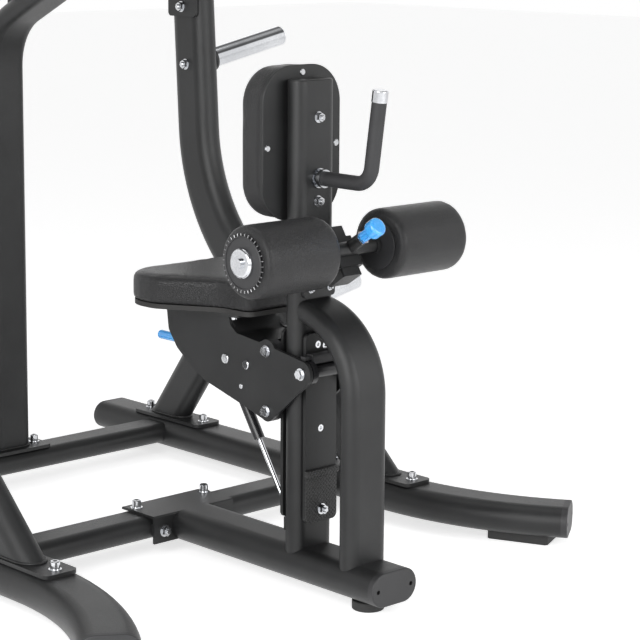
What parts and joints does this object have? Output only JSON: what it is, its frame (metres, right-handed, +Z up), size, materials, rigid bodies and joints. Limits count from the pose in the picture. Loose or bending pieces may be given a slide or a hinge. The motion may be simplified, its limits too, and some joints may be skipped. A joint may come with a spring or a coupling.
{
  "type": "lat pulldown machine",
  "caption": "Plate-loaded lat pulldown machine with a raised height-adjustable seat, chest pad, foam knee rollers, storage pegs and two lever arms.",
  "frame": {"origin": "on the floor at the centre of the machine's overall box", "axes": "+Z up; the seated user faces -Y; X = 0 is the plane of symmetry and +X is the user's left"},
  "size_m": [1.5748, 1.629, 1.8976],
  "materials": {
    "frame_paint": "satin",
    "chrome": "polished",
    "steel": "satin",
    "black_steel": "gloss",
    "black_plastic": "matte",
    "blue_plastic": "gloss",
    "vinyl": "satin",
    "grip_rubber": "matte",
    "rubber": "matte",
    "board": "matte"
  },
  "bodies": {
    "frame": {"side_beams": "frame_paint", "beam_caps": "black_plastic", "centre_beam": "frame_paint", "cross_beams": "frame_paint", "centre_saddle": "frame_paint", "rubber_feet": "rubber", "foot_plates": "frame_paint", "column": "frame_paint", "bow_tube": "frame_paint", "rails": "frame_paint", "rail_stop": "rubber", "chest_plate": "frame_paint", "chest_cushion": "vinyl", "assist_handle": "chrome", "assist_grip": "grip_rubber", "assist_chrome": "chrome", "spring_bracket": "frame_paint", "knee_guide": "frame_paint", "uprights": "frame_paint", "rear_legs": "frame_paint", "rear_mast": "frame_paint", "upper_ties": "frame_paint", "storage_pegs": "chrome", "peg_flanges": "black_plastic", "frame_bolts": "chrome", "pivot_shafts": "steel", "stop_pads": "rubber"},
    "seat_carriage": {"seat_side_plates": "frame_paint", "seat_bearer": "frame_paint", "seat_board": "board", "seat_cushion": "vinyl", "roller_axles": "chrome", "seat_blocks": "black_plastic"},
    "front_roller": {"front_guide_roller": "black_plastic"},
    "upper_roller": {"upper_guide_roller": "black_plastic"},
    "lower_roller": {"lower_guide_roller": "black_plastic"},
    "seat_lever": {"release_lever": "steel", "release_grip": "blue_plastic"},
    "latch": {"latch_pin": "steel"},
    "gas_rod": {"spring_rod": "chrome"},
    "gas_cylinder": {"spring_cylinder": "black_steel"},
    "knee_carriage": {"knee_sleeve": "frame_paint", "knee_axle": "frame_paint", "knee_caps": "chrome", "pull_pin_nut": "chrome"},
    "knee_left": {"knee_roller_left": "vinyl", "knee_hub_left": "black_plastic"},
    "knee_right": {"knee_roller_right": "vinyl", "knee_hub_right": "black_plastic"},
    "knee_pin": {"pull_pin": "steel", "pull_knob": "blue_plastic"},
    "arm_left": {"lever_arm_left": "frame_paint", "weight_horn_left": "chrome"},
    "arm_right": {"lever_arm_right": "frame_paint", "weight_horn_right": "chrome"},
    "handle_left": {"pull_handle_left": "chrome", "pull_grips_left": "grip_rubber"},
    "handle_right": {"pull_handle_right": "chrome", "pull_grips_right": "grip_rubber"}
  },
  "joints": [
    {"name": "seat_height", "type": "slide", "parent": "frame", "child": "seat_carriage", "axis": [0, 0, 1], "range_m": [-0.15, 0]},
    {"name": "front_roller_spin", "type": "hinge", "parent": "seat_carriage", "child": "front_roller", "pos_m": [0, -0.6115, 0.47], "axis": [1, 0, 0], "range_deg": [0, 640]},
    {"name": "upper_roller_spin", "type": "hinge", "parent": "seat_carriage", "child": "upper_roller", "pos_m": [0, -0.5075, 0.501], "axis": [1, 0, 0], "range_deg": [-640, 0]},
    {"name": "lower_roller_spin", "type": "hinge", "parent": "seat_carriage", "child": "lower_roller", "pos_m": [0, -0.5075, 0.376], "axis": [1, 0, 0], "range_deg": [-640, 0]},
    {"name": "seat_lever_lift", "type": "hinge", "parent": "seat_carriage", "child": "seat_lever", "pos_m": [0, -0.4445, 0.463], "axis": [1, 0, 0], "range_deg": [0, 8], "stiffness_Nm_per_rad": 2, "springref_deg": -34.38},
    {"name": "latch_draw", "type": "slide", "parent": "seat_carriage", "child": "latch", "axis": [0, 1, 0], "range_m": [0, 0.0063]},
    {"name": "gas_rod_swing", "type": "hinge", "parent": "frame", "child": "gas_rod", "pos_m": [0, -0.5135, 0.128], "axis": [1, 0, 0], "range_deg": [-19, 0]},
    {"name": "gas_cylinder_stroke", "type": "slide", "parent": "gas_rod", "child": "gas_cylinder", "axis": [0, 0.5476, 0.8367], "range_m": [-0.116, 0]},
    {"name": "knee_height", "type": "slide", "parent": "frame", "child": "knee_carriage", "axis": [0, 0.5446, 0.8387], "range_m": [-0.014, 0.02]},
    {"name": "knee_left_spin", "type": "hinge", "parent": "knee_carriage", "child": "knee_left", "pos_m": [0.177, -0.6735, 0.726], "axis": [1, 0, 0], "continuous": true},
    {"name": "knee_right_spin", "type": "hinge", "parent": "knee_carriage", "child": "knee_right", "pos_m": [-0.177, -0.6735, 0.726], "axis": [1, 0, 0], "continuous": true},
    {"name": "knee_pin_pull", "type": "slide", "parent": "knee_carriage", "child": "knee_pin", "axis": [0, -0.8387, 0.5446], "range_m": [0, 0.012], "stiffness_N_per_m": 500, "springref_m": -0.01},
    {"name": "arm_left_pull", "type": "hinge", "parent": "frame", "child": "arm_left", "pos_m": [0.405, 0.43916, 1.68], "axis": [1, 0, 0], "range_deg": [0, 40]},
    {"name": "handle_left_swing", "type": "hinge", "parent": "arm_left", "child": "handle_left", "pos_m": [0.405, -0.4095, 1.862], "axis": [1, 0, 0], "range_deg": [-35, 30]},
    {"name": "arm_right_pull", "type": "hinge", "parent": "frame", "child": "arm_right", "pos_m": [-0.405, 0.43916, 1.68], "axis": [1, 0, 0], "range_deg": [0, 40]},
    {"name": "handle_right_swing", "type": "hinge", "parent": "arm_right", "child": "handle_right", "pos_m": [-0.405, -0.4095, 1.862], "axis": [1, 0, 0], "range_deg": [-35, 30]}
  ],
  "couplings": [
    {"joint": "front_roller_spin", "follows": "seat_height", "rad_per_m": -72.993},
    {"joint": "upper_roller_spin", "follows": "seat_height", "rad_per_m": 72.993},
    {"joint": "lower_roller_spin", "follows": "seat_height", "rad_per_m": 72.993},
    {"joint": "gas_rod_swing", "follows": "seat_height", "rad_per_m": 2.108},
    {"joint": "gas_cylinder_stroke", "follows": "seat_height", "ratio": 0.7618},
    {"joint": "latch_draw", "follows": "seat_lever_lift", "m_per_rad": 0.044}
  ]
}
